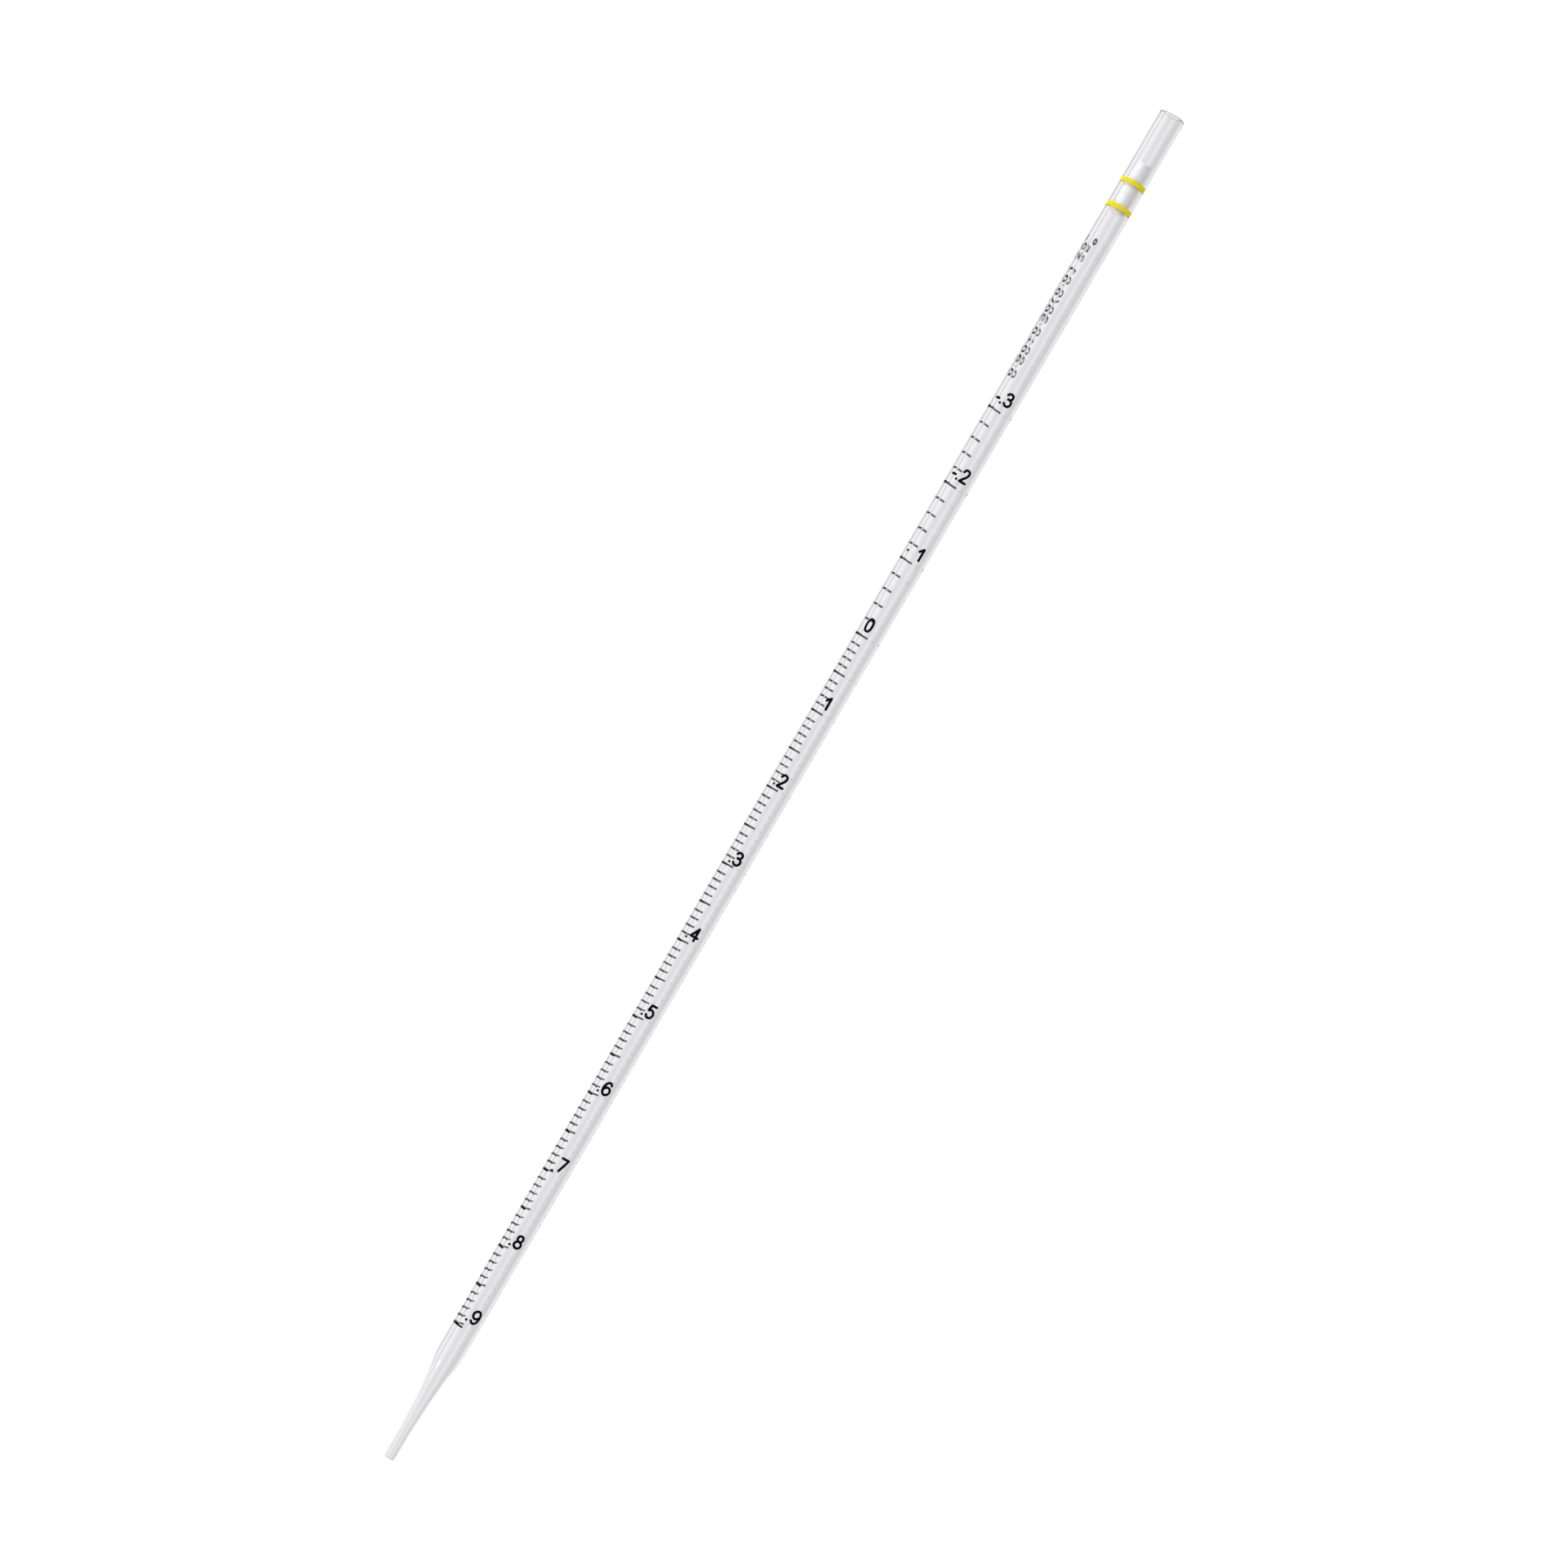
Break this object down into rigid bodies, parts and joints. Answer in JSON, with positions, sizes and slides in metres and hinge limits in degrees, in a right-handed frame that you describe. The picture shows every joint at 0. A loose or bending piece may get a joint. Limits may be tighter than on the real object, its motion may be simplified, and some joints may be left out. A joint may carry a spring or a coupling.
{
  "type": "graduated pipette",
  "caption": "Straight clear plastic graduated pipette with a drawn tip, a fibre plug in its mouth, a black printed scale with an overflow range, and yellow colour bands.",
  "frame": {"origin": "centre of the mouth's rim, where a pipette controller holds it", "axes": "+Z along the tube's axis from the tip to the mouth; the scale is read from -Y, with +X to the right"},
  "size_m": [0.0048, 0.0048, 0.275],
  "materials": {
    "clear_plastic": "clear drawn polystyrene, glossy, with faint draw lines along the tube",
    "plug_fibre": "white packed fibre, matte",
    "band_ink": "yellow printed ink, satin",
    "scale_ink": "black printed ink, satin"
  },
  "bodies": {
    "root": {"filter_plug": "plug_fibre", "graduated_tube": "clear_plastic", "half_mark_0_05_ml": "scale_ink", "half_mark_0_15_ml": "scale_ink", "half_mark_0_25_ml": "scale_ink", "half_mark_0_35_ml": "scale_ink", "half_mark_0_45_ml": "scale_ink", "half_mark_0_55_ml": "scale_ink", "half_mark_0_65_ml": "scale_ink", "half_mark_0_75_ml": "scale_ink", "half_mark_0_85_ml": "scale_ink", "lower_colour_band": "band_ink", "numbered_mark_0_0_ml": "scale_ink", "numbered_mark_0_1_ml": "scale_ink", "numbered_mark_0_2_ml": "scale_ink", "numbered_mark_0_3_ml": "scale_ink", "numbered_mark_0_4_ml": "scale_ink", "numbered_mark_0_5_ml": "scale_ink", "numbered_mark_0_6_ml": "scale_ink", "numbered_mark_0_7_ml": "scale_ink", "numbered_mark_0_8_ml": "scale_ink", "numbered_mark_0_9_ml": "scale_ink", "numbered_mark_minus_0_1_ml": "scale_ink", "numbered_mark_minus_0_2_ml": "scale_ink", "numbered_mark_minus_0_3_ml": "scale_ink", "upper_colour_band": "band_ink"}
  },
  "joints": []
}
